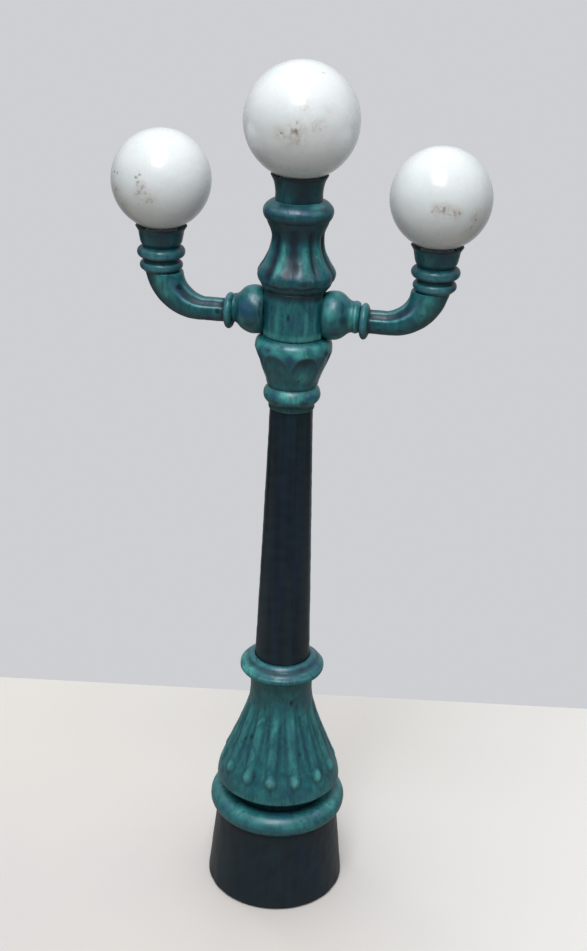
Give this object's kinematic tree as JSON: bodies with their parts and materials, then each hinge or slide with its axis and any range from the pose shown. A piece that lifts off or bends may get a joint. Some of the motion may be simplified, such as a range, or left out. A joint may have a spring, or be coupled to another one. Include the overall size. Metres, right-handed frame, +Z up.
{
  "type": "model street lamp post",
  "caption": "Table-top model of an ornamental street lamp post: tapered plinth, fluted bell foot, slender shaft and curved arms holding white globe lamps.",
  "frame": {"origin": "centre of the base on the surface that the feet stand on, on the post's axis", "axes": "+Z up along the post, the two arms lie along X, the front faces -Y"},
  "size_m": [0.166, 0.0694, 0.4141],
  "materials": {
    "verdigris_paint": "satin teal paint rubbed over dark, like verdigris",
    "dark_paint": "satin blue-black paint",
    "opal_glass": "glossy opal white",
    "clear_glass": "clear",
    "brass": "stamped",
    "steel": "zinc plated",
    "black_plastic": "moulded, fine grain",
    "rubber": "matt",
    "cast_iron": "as cast",
    "cell_sleeve": "plain printed-free sleeve",
    "wire_insulation": "smooth"
  },
  "bodies": {
    "post": {"plinth": "dark_paint", "base_plate": "black_plastic", "base_plate_screws": "steel", "rubber_feet": "rubber", "battery_tray": "black_plastic", "battery_cells": "cell_sleeve", "contact_springs": "steel", "contact_plates": "brass", "switch_body": "black_plastic", "ballast_weight": "cast_iron", "tie_rod": "steel", "tie_rod_bottom_washer": "steel", "tie_rod_bottom_nut": "steel", "tie_rod_top_nut": "steel", "base_ring": "verdigris_paint", "fluted_bell": "verdigris_paint", "bell_collar": "verdigris_paint", "shaft": "dark_paint", "capital_bead": "verdigris_paint", "petal_capital": "verdigris_paint", "arm_hub": "verdigris_paint", "fluted_vase": "verdigris_paint", "vase_cap_ring": "verdigris_paint", "top_globe_cup": "verdigris_paint", "arm_boss_left": "verdigris_paint", "arm_boss_right": "verdigris_paint", "arm_left": "verdigris_paint", "arm_right": "verdigris_paint", "arm_nipple_left": "steel", "arm_nipple_right": "steel", "arm_nipple_nuts": "steel", "arm_collar_left": "verdigris_paint", "arm_collar_right": "verdigris_paint", "globe_cup_left": "verdigris_paint", "globe_cup_right": "verdigris_paint", "globe_gaskets": "rubber", "lamp_holder_left": "brass", "lamp_holder_centre": "brass", "lamp_holder_right": "brass", "wire_left": "wire_insulation", "wire_centre": "wire_insulation", "wire_right": "wire_insulation"},
    "left_globe": {"globe_left": "opal_glass"},
    "left_bulb": {"bulb_base_left": "brass", "bulb_glass_left": "clear_glass"},
    "centre_globe": {"globe_centre": "opal_glass"},
    "centre_bulb": {"bulb_base_centre": "brass", "bulb_glass_centre": "clear_glass"},
    "right_globe": {"globe_right": "opal_glass"},
    "right_bulb": {"bulb_base_right": "brass", "bulb_glass_right": "clear_glass"},
    "battery_cover": {"battery_door": "black_plastic", "battery_door_screw": "steel"},
    "switch": {"switch_knob": "black_plastic"}
  },
  "joints": [
    {"name": "left_globe_lift", "type": "slide", "parent": "post", "child": "left_globe", "axis": [0, 0, 1], "range_m": [0, 0.06]},
    {"name": "left_bulb_turn", "type": "hinge", "parent": "post", "child": "left_bulb", "pos_m": [-0.061, 0, 0.342], "axis": [0, 0, 1], "range_deg": [0, 720]},
    {"name": "centre_globe_lift", "type": "slide", "parent": "post", "child": "centre_globe", "axis": [0, 0, 1], "range_m": [0, 0.06]},
    {"name": "centre_bulb_turn", "type": "hinge", "parent": "post", "child": "centre_bulb", "pos_m": [0, 0, 0.3715], "axis": [0, 0, 1], "range_deg": [0, 720]},
    {"name": "right_globe_lift", "type": "slide", "parent": "post", "child": "right_globe", "axis": [0, 0, 1], "range_m": [0, 0.06]},
    {"name": "right_bulb_turn", "type": "hinge", "parent": "post", "child": "right_bulb", "pos_m": [0.061, 0, 0.342], "axis": [0, 0, 1], "range_deg": [0, 720]},
    {"name": "battery_cover_swing", "type": "hinge", "parent": "post", "child": "battery_cover", "pos_m": [-0.0245, 0, 0.0014], "axis": [0, 1, 0], "range_deg": [0, 100]},
    {"name": "switch_slide", "type": "slide", "parent": "post", "child": "switch", "axis": [1, 0, 0], "range_m": [0, 0.003]}
  ]
}
